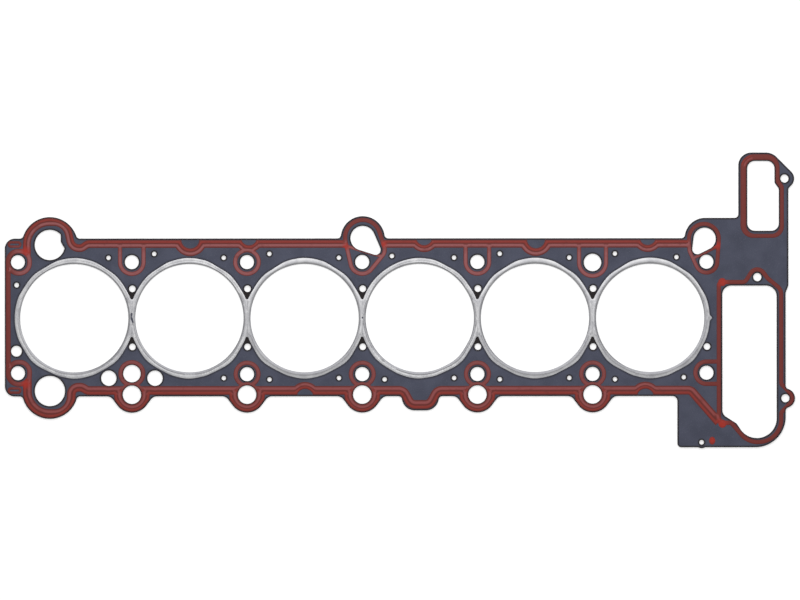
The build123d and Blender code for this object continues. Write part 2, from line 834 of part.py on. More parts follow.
with BuildSketch() as perimeter_plan:
    add(upper_band.sketch)
    add(lower_band.sketch)
    # rear rail and the loops round the rear bolts
    strip([(end_rail_x, lower_end_bolt_y), (end_rail_x, bolt_row)], None, end_rail_width)
    with Locations(*[(end_rail_x + end_loop_length / 2, y) for y in (bolt_row, lower_end_bolt_y)]):
        RectangleRounded(
            *[size + end_rail_width for size in end_loop_size],
            end_loop_corner + end_rail_width / 2,
        )
        RectangleRounded(
            *[size - end_rail_width for size in end_loop_size],
            end_loop_corner - end_rail_width / 2,
            mode=Mode.SUBTRACT,
        )
    # U-shaped rails from the upper band round its bolts, and a round one
    for x, y, hole in (
        (web_columns[0], bolt_row, bolt_hole_radius),
        (web_columns[3], bolt_row, bolt_hole_radius),
        (web_columns[4], dowel_y, dowel_hole_radius),
    ):
        half = hole + loop_margin
        route = [(x - half, band_y), (x - half, y - half), (x + half, y - half), (x + half, band_y)]
        strip(route, [half - 0.05, half - 0.05], rail_width)
    add(round_ring(web_columns[1], bolt_row, bolt_hole_radius + loop_margin, rail_width))
    # rings round each teardrop with its bolt, crossed by a short rail between the two
    for loop, width in ((middle_loop, rail_width), (front_loop, front_loop_width)):
        add(hull(loop, width / 2))
        add(hull(loop, -width / 2), mode=Mode.SUBTRACT)
    for start, end in cross_rails:
        strip([start, end], None, cross_rail_width)
    # figure of eight round each lower bolt and its drain hole
    for x, y in [*lower_bolts, dowels[0]]:
        add(round_ring(x, y, bolt_hole_radius + eye_margin, rail_width))
        add(drain_print(x))
    # chain loop and the rail round the front lower bolt
    add(chain_loop())
    strip(
        [
            (chain_rail_left, lower_end_bolt_y + front_rail_half),
            (end_bolt_x - front_rail_half, lower_end_bolt_y + front_rail_half),
            (end_bolt_x - front_rail_half, lower_end_bolt_y - front_rail_half),
            (chain_rail_left, lower_end_bolt_y - front_rail_half),
        ],
        [front_rail_half - 0.05, front_rail_half - 0.05],
        rail_width,
    )
    disc_group([(chain_left, chain_rail_top), (chain_left, shoulder_y - 7.3)], blob_radius)
    add(print_field.sketch, mode=Mode.INTERSECT)

neck_x = slot_right - slot_neck
with BuildSketch() as slot_plan:
    panel(
        [
            (slot_left - slot_rail_outer, slot_bottom - slot_rail_drop),
            (slot_right + slot_rail_right, slot_bottom - slot_rail_drop),
            (slot_right + slot_rail_right, slot_step_low + slot_step_rise),
            (neck_x + slot_rail_right, slot_step_high + slot_step_rise),
            (neck_x + slot_rail_right, slot_top + slot_rail_outer),
            (slot_left - slot_rail_outer, slot_top + slot_rail_outer),
        ],
        [10.0, 9.0, 3.5, 3.5, 10.5, 10.5],
    )
    panel(
        [
            (slot_left - slot_rail_inner, slot_bottom - slot_rail_foot),
            (slot_right + slot_rail_inner, slot_bottom - slot_rail_foot),
            (slot_right + slot_rail_inner, slot_step_low + slot_rail_inner / 2),
            (neck_x + slot_rail_inner, slot_step_high + slot_rail_inner / 2),
            (neck_x + slot_rail_inner, slot_top + slot_rail_inner),
            (slot_left - slot_rail_inner, slot_top + slot_rail_inner),
        ],
        [radius + slot_rail_inner for radius in slot_radii],
        mode=Mode.SUBTRACT,
    )
    add(print_field.sketch, mode=Mode.INTERSECT)

with BuildSketch() as upper_lug_plan:
    add(box_ring(*upper_hairpin, hairpin_length, hairpin_height, hairpin_height / 2 - 0.05, hairpin_width))
    add(print_field.sketch, mode=Mode.INTERSECT)

with BuildSketch() as lower_lug_plan:
    add(box_ring(*lower_hairpin, hairpin_length, hairpin_height, hairpin_height / 2 - 0.05, hairpin_width))
    add(print_field.sketch, mode=Mode.INTERSECT)

with BuildSketch() as spot_plan:
    with Locations(spot_place):
        Ellipse(spot_length / 2, spot_height / 2)
    add(print_field.sketch, mode=Mode.INTERSECT)

prints = {
    "perimeter_bead": perimeter_plan,
    "slot_bead": slot_plan,
    "upper_lug_bead": upper_lug_plan,
    "lower_lug_bead": lower_lug_plan,
    "spot_bead": spot_plan,
}
for print_name, plan in prints.items():
    for face, base in (("top", upper_facing_top), ("bottom", 0)):
        with BuildPart() as bead:
            with BuildSketch(Plane.XY.offset(base)):
                add(plan.sketch)
            extrude(amount=bead_height)
        name = f"{print_name}_{face}"
        bead.part.label = name
        export_step(bead.part, f"parts/{name}.step")
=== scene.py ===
"""Looks for a cylinder head gasket: slate facings, printed red sealing and folded steel rings."""

import logging
import math
from dataclasses import dataclass
from typing import Sequence

import bmesh
import bpy
from mathutils import Matrix, Vector, geometry, kdtree


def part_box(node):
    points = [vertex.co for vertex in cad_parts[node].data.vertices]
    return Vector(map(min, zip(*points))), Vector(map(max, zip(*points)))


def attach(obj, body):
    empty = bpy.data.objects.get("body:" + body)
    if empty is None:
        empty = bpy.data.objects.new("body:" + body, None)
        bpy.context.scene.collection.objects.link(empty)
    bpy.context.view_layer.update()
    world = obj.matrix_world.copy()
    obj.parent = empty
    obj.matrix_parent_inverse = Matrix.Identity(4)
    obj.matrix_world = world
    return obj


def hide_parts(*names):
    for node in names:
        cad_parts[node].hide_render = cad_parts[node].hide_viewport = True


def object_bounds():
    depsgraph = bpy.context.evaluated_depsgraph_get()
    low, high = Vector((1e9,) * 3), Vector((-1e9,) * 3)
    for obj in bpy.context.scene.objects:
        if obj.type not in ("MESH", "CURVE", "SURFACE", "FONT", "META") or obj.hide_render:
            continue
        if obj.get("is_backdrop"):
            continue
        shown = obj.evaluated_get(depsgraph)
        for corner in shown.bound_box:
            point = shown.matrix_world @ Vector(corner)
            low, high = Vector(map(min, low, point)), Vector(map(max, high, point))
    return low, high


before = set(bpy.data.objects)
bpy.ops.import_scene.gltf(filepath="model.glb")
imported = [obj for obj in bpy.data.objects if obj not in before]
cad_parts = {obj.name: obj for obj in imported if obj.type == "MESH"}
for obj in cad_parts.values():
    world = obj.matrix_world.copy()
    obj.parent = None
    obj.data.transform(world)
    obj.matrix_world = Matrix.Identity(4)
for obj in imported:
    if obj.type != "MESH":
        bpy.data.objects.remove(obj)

log = logging.getLogger("gasket")

MM = 0.001
MICRON = 1e-6
WELD = 2e-7  # metres: points nearer than this are one
LEVEL_SLACK = 2e-6  # metres: how far off its height a flat face may lie
LYING = 0.99  # the least that a lying face's normal points up
UPRIGHT = 0.2  # the most that a wall's normal points up or down
STRAIGHT = 1e-4  # radians: a run that turns less isn't part of an arc
BODY = "root"
BORES = 6

Colour = tuple[float, float, float]
Socket = bpy.types.NodeSocket
Sheet = bmesh.types.BMesh

WHITE: Colour = (1.0, 1.0, 1.0)


def rgba(colour: Colour) -> tuple[float, float, float, float]:
    """Give a linear colour its alpha."""
    return (*colour, 1.0)


def clamp(share: float) -> float:
    """Keep a share between 0 and 1."""
    return min(1.0, max(0.0, share))


def eased(knots: Sequence[tuple[float, ...]], place: float) -> tuple[float, ...]:
    """Read a smooth line that runs level through each of its knots.

    Args:
        knots: Each knot's place and then its values, in the order of the places.
        place: Where to read, not before the first knot.

    Returns:
        The values there. Past the last knot they are the last knot's.
    """
    for (start, *low), (end, *high) in zip(knots, knots[1:]):
        if place <= end:
            share = (1 - math.cos(math.pi * max(0.0, place - start) / (end - start))) / 2
            return tuple(first + (last - first) * share for first, last in zip(low, high))
    return tuple(knots[-1][1:])


@dataclass(frozen=True)
class Cloud:
    """Cloudy noise: one cloud's size in millimetres, its finer layers and how strong they are.

    A finish names the part of a noise over which a tone comes in, and its relief's depth in
    millimetres and strength.
    """

    size: float
    detail: float
    roughness: float = 0.5


class Nodes:
    """A short way to build one material's node tree."""

    def __init__(self, name: str) -> None:
        """Start a material with a shader and an output.

        Args:
            name: The material's name.
        """
        self.material = bpy.data.materials.new(name)
        self.material.use_nodes = True
        self.tree = self.material.node_tree
        self.tree.nodes.clear()
        self.shader = self.tree.nodes.new("ShaderNodeBsdfPrincipled")
        output = self.tree.nodes.new("ShaderNodeOutputMaterial")
        self.link(self.shader.outputs["BSDF"], output.inputs["Surface"])
        self.place = self.tree.nodes.new("ShaderNodeTexCoord").outputs["Object"]

    def link(self, source: Socket, target: Socket) -> None:
        """Join two sockets."""
        self.tree.links.new(source, target)

    def attribute(self, name: str) -> Socket:
        """Read a number that is stored on the mesh.

        Args:
            name: The attribute's name.

        Returns:
            The socket with the number.
        """
        reader = self.tree.nodes.new("ShaderNodeAttribute")
        reader.attribute_name = name
        return reader.outputs["Fac"]

    def noise(self, cloud: Cloud) -> Socket:
        """Add cloudy noise on object coordinates.

        Args:
            cloud: The noise.

        Returns:
            The socket with the noise, from 0 to 1.
        """
        texture = self.tree.nodes.new("ShaderNodeTexNoise")
        texture.inputs["Scale"].default_value = 1 / (cloud.size * MM)
        texture.inputs["Detail"].default_value = cloud.detail
        texture.inputs["Roughness"].default_value = cloud.roughness
        self.link(self.place, texture.inputs["Vector"])
        return texture.outputs["Fac"]

    def spread(self, value: Socket, low: float, high: float,
               start: float = 0.0, end: float = 1.0) -> Socket:
        """Map a range of one value softly on another range.

        Args:
            value: The socket to map.
            low: The value that becomes the start.
            high: The value that becomes the end.
            start: The result at the low value.
            end: The result at the high value.

        Returns:
            The mapped socket.
        """
        mapped = self.tree.nodes.new("ShaderNodeMapRange")
        mapped.interpolation_type = "SMOOTHSTEP"
        limits = {"From Min": low, "From Max": high, "To Min": start, "To Max": end}
        for name, number in limits.items():
            mapped.inputs[name].default_value = number
        self.link(value, mapped.inputs["Value"])
        return mapped.outputs["Result"]

    def mix(self, share: Socket, first: Colour | Socket, second: Colour | Socket) -> Socket:
        """Mix two colours.

        Args:
            share: How much of the second colour there is.
            first: The colour at 0.
            second: The colour at 1.

        Returns:
            The mixed colour's socket.
        """
        mixer = self.tree.nodes.new("ShaderNodeMix")
        mixer.data_type = "RGBA"
        self.link(share, mixer.inputs["Factor"])
        sockets = [socket for socket in mixer.inputs if socket.type == "RGBA"]
        for socket, colour in zip(sockets, (first, second)):
            if isinstance(colour, tuple):
                socket.default_value = rgba(colour)
            else:
                self.link(colour, socket)
        return next(socket for socket in mixer.outputs if socket.type == "RGBA")

    def bump(self, height: Socket, depth: float, strength: float) -> None:
        """Roughen the surface.

        Args:
            height: The height, from 0 to 1.
            depth: The depth of the relief in millimetres.
            strength: How much of it shows.
        """
        relief = self.tree.nodes.new("ShaderNodeBump")
        relief.inputs["Distance"].default_value = depth * MM
        relief.inputs["Strength"].default_value = strength
        self.link(height, relief.inputs["Height"])
        self.link(relief.outputs["Normal"], self.shader.inputs["Normal"])

    def finish(self, colour: Colour | Socket, roughness: float,
               metallic: float = 0.0, specular: float = 0.5) -> bpy.types.Material:
        """Set the shader's colour and its plain numbers.

        Args:
            colour: The base colour, or a socket with it.
            roughness: The roughness.
            metallic: 1 for bare metal.
            specular: The specular level.

        Returns:
            The finished material.
        """
        base = self.shader.inputs["Base Color"]
        if isinstance(colour, tuple):
            base.default_value = rgba(colour)
        else:
            self.link(colour, base)
        self.shader.inputs["Roughness"].default_value = roughness
        self.shader.inputs["Metallic"].default_value = metallic
        self.shader.inputs["Specular IOR Level"].default_value = specular
        return self.material


@dataclass(frozen=True)
class FacingFinish:
    """Pressed fibre facing in dark slate, with painted shade along its punched edges and in the
    tips between rings.
    """

    slate: Colour = (0.066, 0.072, 0.109)
    cloud: Colour = (0.084, 0.091, 0.135)
    fleck: Colour = (0.140, 0.147, 0.195)
    # painted shade: near-black tone for the dark margin along edges and in the tips between rings
    edge_shade_tone: Colour = (0.014, 0.010, 0.011)
    clouds: Cloud = Cloud(14.0, 3.0)
    clouded: tuple[float, float] = (0.3, 0.7)
    fibres: Cloud = Cloud(0.55, 3.0, 0.7)
    flecked: tuple[float, float] = (0.56, 0.74)
    relief: tuple[float, float] = (0.06, 0.35)
    roughness: float = 0.7
    specular: float = 0.3

    def material(self, name: str = "facing_fibre") -> bpy.types.Material:
        """Build the finish for a piece that stores its painted edge shade.

        Args:
            name: The material's name.

        Returns:
            The material.
        """
        nodes = Nodes(name)
        clouds = nodes.spread(nodes.noise(self.clouds), *self.clouded)
        body = nodes.mix(clouds, self.slate, self.cloud)
        fibres = nodes.noise(self.fibres)
        body = nodes.mix(nodes.spread(fibres, *self.flecked), body, self.fleck)
        # painted shade along the punched edges and the recess rim, deepest in the tips between
        # rings
        body = nodes.mix(nodes.attribute("edge_shade"), body, self.edge_shade_tone)
        nodes.bump(fibres, *self.relief)
        return nodes.finish(body, self.roughness, specular=self.specular)


@dataclass(frozen=True)
class PrintFinish:
    """Screen-printed silicone: brick red, with paler ridges away from the sheet's edge, a painted
    highlight on the crests and painted shade in the grooves and along the edges.
    """

    # painted shade: the darker tone of the grooves and of the print's edges
    groove: Colour = (0.150, 0.022, 0.018)
    outer_ridge: Colour = (0.280, 0.031, 0.022)
    rail: Colour = (0.195, 0.030, 0.024)
    inner_ridge: Colour = (0.320, 0.097, 0.100)
    joint: Colour = (0.420, 0.026, 0.014)
    crest_highlight: tuple[float, float] = (0.1, 0.85)
    smears: Cloud = Cloud(5.0, 4.0, 0.6)
    smeared: tuple[float, float, float, float] = (0.52, 0.78, 0.0, 0.5)
    smear_shade: float = 0.72
    grain: Cloud = Cloud(0.8, 3.0, 0.6)
    relief: tuple[float, float] = (0.03, 0.25)
    roughness: float = 0.42
    specular: float = 0.25

    def material(self, name: str = "print_silicone") -> bpy.types.Material:
        """Build the finish for a piece that stores its ridges, its tones and its joints.

        Args:
            name: The material's name.

        Returns:
            The material.
        """
        nodes = Nodes(name)
        edge_side = nodes.mix(nodes.attribute("single"), self.outer_ridge, self.rail)
        # paler ridges away from the sheet's edge, which also carry a painted sheen from above
        crest = nodes.mix(nodes.attribute("pale"), edge_side, self.inner_ridge)
        # painted highlight on the crests against the painted shade of the grooves and edges
        crest_highlight = nodes.spread(nodes.attribute("ridge"), *self.crest_highlight)
        body = nodes.mix(crest_highlight, self.groove, crest)
        smear = tuple(self.smear_shade * channel for channel in self.rail)
        body = nodes.mix(nodes.spread(nodes.noise(self.smears), *self.smeared), body, smear)
        body = nodes.mix(nodes.attribute("joint"), body, self.joint)
        nodes.bump(nodes.noise(self.grain), *self.relief)
        return nodes.finish(body, self.roughness, specular=self.specular)


@dataclass(frozen=True)
class SteelFinish:
    """Thin rolled steel: satin, with fine scuffs and dull patches, and painted shade where a piece
    stores it.
    """

    clean: Colour = (0.58, 0.58, 0.59)
    dull: Colour = (0.44, 0.44, 0.46)
    # painted shade: the dark tone on the folded edge and along the pressed line
    ring_shade: Colour = (0.24, 0.24, 0.26)
    patches: Cloud = Cloud(9.0, 4.0, 0.65)
    patched: tuple[float, float] = (0.35, 0.7)
    scuffs: Cloud = Cloud(0.7, 4.0, 0.6)
    relief: tuple[float, float] = (0.02, 0.3)
    roughness: float = 0.34

    def material(self, name: str) -> bpy.types.Material:
        """Build the steel for a piece that may store its painted shade.

        Args:
            name: The material's name.

        Returns:
            The material.
        """
        nodes = Nodes(name)
        patches = nodes.spread(nodes.noise(self.patches), *self.patched)
        body = nodes.mix(patches, self.clean, self.dull)
        # painted shade on the folded edge and along the pressed line
        body = nodes.mix(nodes.attribute("ring_shade"), body, self.ring_shade)
        nodes.bump(nodes.noise(self.scuffs), *self.relief)
        return nodes.finish(body, self.roughness, metallic=1.0)


@dataclass
class Rim:
    """One closed edge of a flat face, in metres, with the face on its left."""

    points: list[Vector]

    def area(self) -> float:
        """Measure the signed area, which is positive anticlockwise."""
        turned = self.points[1:] + self.points[:1]
        return sum(a.x * b.y - b.x * a.y for a, b in zip(self.points, turned)) / 2

    def turn_at(self, index: int) -> float:
        """Measure how far the edge turns at one point.

        Args:
            index: The point's place in the rim.

        Returns:
            The signed angle in radians.
        """
        count = len(self.points)
        here = self.points[index % count]
        before = here - self.points[(index - 1) % count]
        after = self.points[(index + 1) % count] - here
        return math.atan2(before.x * after.y - before.y * after.x, before.dot(after))

    def rounded(self, step: float, sharpest: float = 0.9, slack: float = 0.03) -> "Rim":
        """Divide the rim evenly and put the new points of its arcs on their true circles.

        Args:
            step: The longest run between two points.
            sharpest: The largest turn that belongs to an arc, in radians.
            slack: How much two chords of one arc may differ, as a share of their length.

        Returns:
            The finer rim.
        """
        count = len(self.points)
        runs = [(self.points[(i + 1) % count] - self.points[i]).length for i in range(count)]
        turns = [self.turn_at(i) for i in range(count)]
        finer: list[Vector] = []
        for i in range(count):
            start, end = self.points[i], self.points[(i + 1) % count]
            after = (i + 1) % count
            bend = 0.0
            for turn, run in ((turns[i], runs[i - 1]), (turns[after], runs[after])):
                alike = abs(run - runs[i]) < slack * runs[i]
                if alike and abs(bend) < abs(turn) < sharpest:
                    bend = turn
            pieces = max(1, math.ceil(runs[i] / step))
            finer.append(start)
            middle = (start + end) / 2
            side = Vector((-(end - start).y, (end - start).x, 0.0))
            for piece in range(1, pieces):
                share = piece / pieces
                if abs(bend) < STRAIGHT:
                    finer.append(start.lerp(end, share))
                    continue
                centre = middle + side * (0.5 / math.tan(bend / 2))
                swing = Matrix.Rotation(bend * share, 3, "Z")
                finer.append(centre + swing @ (start - centre))
        return Rim(finer)


def flat_rims(node: bpy.types.Object, height: float, step: float) -> list[Rim]:
    """Read the closed edges of a node's upward faces at one height.

    Args:
        node: The frame's node.
        height: The height of the faces.
        step: The longest run between two points of the result.

    Returns:
        The rims, the largest first, each with the face on its left.
    """
    work = bmesh.new()
    work.from_mesh(node.data)
    bmesh.ops.remove_doubles(work, verts=work.verts, dist=WELD)
    lying = {face for face in work.faces
             if face.normal.z > LYING and abs(face.calc_center_median().z - height) < LEVEL_SLACK}
    following = {}
    for edge in work.edges:
        inside = [face for face in edge.link_faces if face in lying]
        if len(inside) == 1:
            loop = next(item for item in edge.link_loops if item.face is inside[0])
            following[loop.vert] = loop.link_loop_next.vert
    rims = []
    while following:
        first, here = next(iter(following.items()))
        del following[first]
        points = [first.co.copy()]
        while here is not first:
            points.append(here.co.copy())
            here = following.pop(here)
        rims.append(Rim([Vector((point.x, point.y, 0.0)) for point in points]).rounded(step))
    work.free()
    return sorted(rims, key=lambda rim: -abs(rim.area()))


@dataclass
class Station:
    """Where a point lies across a strip: its nearest edge and the one over the way, if close."""

    near: float
    across: float
    near_foot: Vector
    far_foot: Vector


class Plan:
    """A flat face between closed rims, meshed in rows that follow the rims."""

    REACH = 40  # how many rim points are looked at for the edge over the way
    OPPOSITE = -0.8  # the cosine past which two edges lie on opposite sides
    CLEAR = 0.96  # how much of its row's distance a point keeps from every rim
    INSIDE_OUTER_RIM = 1  # the triangulation's way to leave out what lies outside
    MERGE = WELD / 4  # how near two points are when the triangulation makes them one

    def __init__(self, rims: Sequence[Rim]) -> None:
        """Keep the rims and make them quick to search.

        Args:
            rims: The rims, the outer one first.
        """
        self.rims = list(rims)
        self.owners = [(index, place) for index, rim in enumerate(self.rims)
                       for place in range(len(rim.points))]
        self.tree = kdtree.KDTree(len(self.owners))
        for order, (index, place) in enumerate(self.owners):
            self.tree.insert(self.rims[index].points[place], order)
        self.tree.balance()

    def span(self, point: Vector, order: int) -> float:
        """Measure the distance to the two runs that meet at a rim's point.

        Args:
            point: The point.
            order: The rim point's number in the tree.

        Returns:
            The distance.
        """
        index, place = self.owners[order]
        points = self.rims[index].points
        corner = points[place]
        best = (point - corner).length
        for other in (points[place - 1], points[(place + 1) % len(points)]):
            foot, share = geometry.intersect_point_line(point, corner, other)
            if 0 < share < 1:
                best = min(best, (point - foot).length)
        return best

    def distance(self, point: Vector) -> float:
        """Measure the distance to the nearest rim."""
        return self.span(point, self.tree.find(point)[1])

    def station(self, point: Vector) -> Station:
        """Place a point across its strip.

        Args:
            point: The point.

        Returns:
            The station. The way across is 0 where no edge is found over the way.
        """
        found = self.tree.find_n(point, self.REACH)
        near = self.span(point, found[0][1])
        inward = (found[0][0] - point).normalized()
        for foot, order, _ in found:
            if (foot - point).normalized().dot(inward) < self.OPPOSITE:
                return Station(near, near + self.span(point, order), found[0][0], foot)
        return Station(near, 0.0, found[0][0], found[0][0])

    def rows(self, distances: Sequence[float], closest: float) -> list[Vector]:
        """Set points at fixed distances from the rims.

        Args:
            distances: The rows' distances.
            closest: The least space between two rows' points.

        Returns:
            The points.
        """
        taken: dict[tuple[int, int], list[Vector]] = {}
        nearby = [(i, j) for i in (-1, 0, 1) for j in (-1, 0, 1)]
        points = []
        for distance in distances:
            for rim in self.rims:
                count = len(rim.points)
                for place, here in enumerate(rim.points):
                    along = (rim.points[(place + 1) % count] - rim.points[place - 1]).normalized()
                    candidate = here + Vector((-along.y, along.x, 0.0)) * distance
                    if self.distance(candidate) < self.CLEAR * distance:
                        continue
                    column, row = round(candidate.x / closest), round(candidate.y / closest)
                    around = (taken.get((column + i, row + j), ()) for i, j in nearby)
                    others = (other for group in around for other in group)
                    if any((candidate - other).length < closest for other in others):
                        continue
                    taken.setdefault((column, row), []).append(candidate)
                    points.append(candidate)
        return points

    def mesh(self, distances: Sequence[float], closest: float) -> Sheet:
        """Fill the plan with triangles between its rims and rows.

        Args:
            distances: The rows' distances from the rims.
            closest: The least space between two rows' points.

        Returns:
            The flat mesh at height 0, facing up.
        """
        flat = [point.to_2d() for rim in self.rims for point in rim.points]
        runs = []
        for rim in self.rims:
            first = len(runs)
            count = len(rim.points)
            runs += [(first + place, first + (place + 1) % count) for place in range(count)]
        flat += [point.to_2d() for point in self.rows(distances, closest)]
        places, _, triangles, origins, *_ = geometry.delaunay_2d_cdt(
            flat, runs, [], self.INSIDE_OUTER_RIM, self.MERGE)
        sheet = bmesh.new()
        corners = [sheet.verts.new((place.x, place.y, 0.0)) for place in places]
        for triangle in triangles:
            sheet.faces.new([corners[corner] for corner in triangle])
        now = {before: corners[after] for after, group in enumerate(origins) for before in group}
        self.open_holes(sheet, {(now[start], now[end]) for start, end in runs})
        return sheet

    @staticmethod
    def open_holes(sheet: Sheet, runs: set[tuple[bmesh.types.BMVert, bmesh.types.BMVert]]) -> None:
        """Delete what lies on the right of the rims.

        Args:
            sheet: The mesh, filled right across.
            runs: The runs of the rims, with the face on their left.
        """
        walls = {edge for edge in (sheet.edges.get(run) for run in runs) if edge}
        waiting = [loop.face for edge in walls for loop in edge.link_loops
                   if (loop.vert, loop.link_loop_next.vert) not in runs]
        spare = set(waiting)
        while waiting:
            for edge in waiting.pop().edges:
                for face in edge.link_faces if edge not in walls else ():
                    if face not in spare:
                        spare.add(face)
                        waiting.append(face)
        outside = [face for face in sheet.faces if face in spare]  # in the same order each run
        bmesh.ops.delete(sheet, geom=outside, context="FACES")
        loose = [vert for vert in sheet.verts if not vert.link_faces]
        bmesh.ops.delete(sheet, geom=loose, context="VERTS")


def drop_walls(sheet: Sheet, edges: Sequence[bmesh.types.BMEdge], height: float) -> None:
    """Pull a wall straight down from the edges of a sheet.

    Args:
        sheet: The mesh.
        edges: The edges to pull from.
        height: The height of the wall's foot.
    """
    for item in bmesh.ops.extrude_edge_only(sheet, edges=list(edges))["geom"]:
        if isinstance(item, bmesh.types.BMVert):
            item.co.z = height


def add_flat(sheet: Sheet, plan: Plan, height: float, up: bool,
             rows: Sequence[float] = (), closest: float = WELD) -> None:
    """Add a flat face to a mesh and weld it on.

    Args:
        sheet: The mesh.
        plan: The face's plan.
        height: The height of the face.
        up: Whether it faces up.
        rows: The distances of its rows from the rims, where it is divided.
        closest: The least space between two rows' points.
    """
    flat = plan.mesh(rows, closest)
    bmesh.ops.translate(flat, vec=(0.0, 0.0, height), verts=flat.verts)
    if not up:
        bmesh.ops.reverse_faces(flat, faces=flat.faces)
    carrier = bpy.data.meshes.new("flat")
    flat.to_mesh(carrier)
    flat.free()
    sheet.from_mesh(carrier)
    bpy.data.meshes.remove(carrier)
    bmesh.ops.remove_doubles(sheet, verts=sheet.verts, dist=WELD)
    sheet.normal_update()


def close_up(sheet: Sheet) -> None:
    """Turn a closed mesh's faces outwards and smooth all but its walls."""
    bmesh.ops.recalc_face_normals(sheet, faces=sheet.faces)
    for face in sheet.faces:
        face.smooth = abs(face.normal.z) > UPRIGHT
    open_edges = sum(not edge.is_manifold for edge in sheet.edges)
    if open_edges:
        log.warning("%d open edges", open_edges)


def make_piece(sheet: Sheet, name: str, material: bpy.types.Material) -> bpy.types.Object:
    """Turn a mesh into a piece of the scene.

    Args:
        sheet: The mesh, which is freed.
        name: The piece's name.
        material: Its finish.

    Returns:
        The object, at the origin.
    """
    data = bpy.data.meshes.new(name)
    sheet.to_mesh(data)
    sheet.free()
    data.materials.append(material)
    piece = bpy.data.objects.new(name, data)
    bpy.context.scene.collection.objects.link(piece)
    return piece


def turn_over(piece: bpy.types.Object, name: str) -> bpy.types.Object:
    """Copy a piece to the other side of the core.

    Args:
        piece: The piece on the head side.
        name: The copy's name.

    Returns:
        The copy on the block side.
    """
    middle = (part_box("facing_top")[1][2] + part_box("facing_bottom")[0][2]) / 2
    sheet = bmesh.new()
    sheet.from_mesh(piece.data)
    for vert in sheet.verts:
        vert.co.z = 2 * middle - vert.co.z
    bmesh.ops.reverse_faces(sheet, faces=sheet.faces)
    return make_piece(sheet, name, piece.data.materials[0])


def declare(piece: bpy.types.Object, node: str) -> None:
    """Hide the frame's node that a piece stands for and hang the piece on the body.

    Args:
        piece: The piece.
        node: The frame's node.
    """
    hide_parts(node)
    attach(piece, BODY)
    log.info("%s: %d faces", piece.name, len(piece.data.polygons))


@dataclass(frozen=True)
class Spot:
    """A round place on the gasket, in millimetres, that differs from what is round it."""

    x: float
    y: float
    reach: float

    def share(self, point: Vector) -> float:
        """Say how much of the difference a point has.

        Args:
            point: The point, in metres.

        Returns:
            1 at the middle, 0 past its reach.
        """
        away = math.hypot(point.x / MM - self.x, point.y / MM - self.y) / self.reach
        return (1 + math.cos(math.pi * min(1.0, away))) / 2


@dataclass(frozen=True)
class FlangeEdge:
    """The outer edge of the steel rings' flanges, which waves a little round its circle.

    The waves give how many millimetres the edge lies outside the circle at an angle above the
    crankshaft's line, in degrees. They are the same to the left and to the right, and fade
    towards the still circle inside.
    """

    radius: float = 47.0 * MM
    still: float = 43.8 * MM
    waves: tuple[tuple[float, float], ...] = (
        (-90.0, 0.75), (-75.0, 0.25), (-63.0, -0.3), (-45.0, 0.6), (-30.0, -0.25), (-19.0, 0.0),
        (19.0, 0.0), (30.0, -0.6), (45.0, -0.3), (58.0, -0.85), (75.0, 0.2), (90.0, 0.5),
    )

    def moved(self, point: Vector, centres: Sequence[Vector]) -> Vector:
        """Move a point of a ring, or of the recess round it, with the edge.

        Args:
            point: The point.
            centres: The bores' centres.

        Returns:
            The point's new place.
        """
        arms = (point - Vector((centre.x, centre.y, point.z)) for centre in centres)
        arm = min(arms, key=lambda each: each.length)
        share = clamp((arm.length - self.still) / (self.radius - self.still))
        wave, = eased(self.waves, math.degrees(math.atan2(arm.y, abs(arm.x))))
        return point + arm.normalized() * (share * wave * MM)


def bore_centres() -> list[Vector]:
    """Find the six bores from the frame's rings."""
    rings = (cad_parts[f"fire_ring_{index}"] for index in range(1, BORES + 1))
    edges = (flat_rims(node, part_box(node.name)[1][2], math.inf)[-1].points for node in rings)
    return [sum(points, Vector()) / len(points) for points in edges]


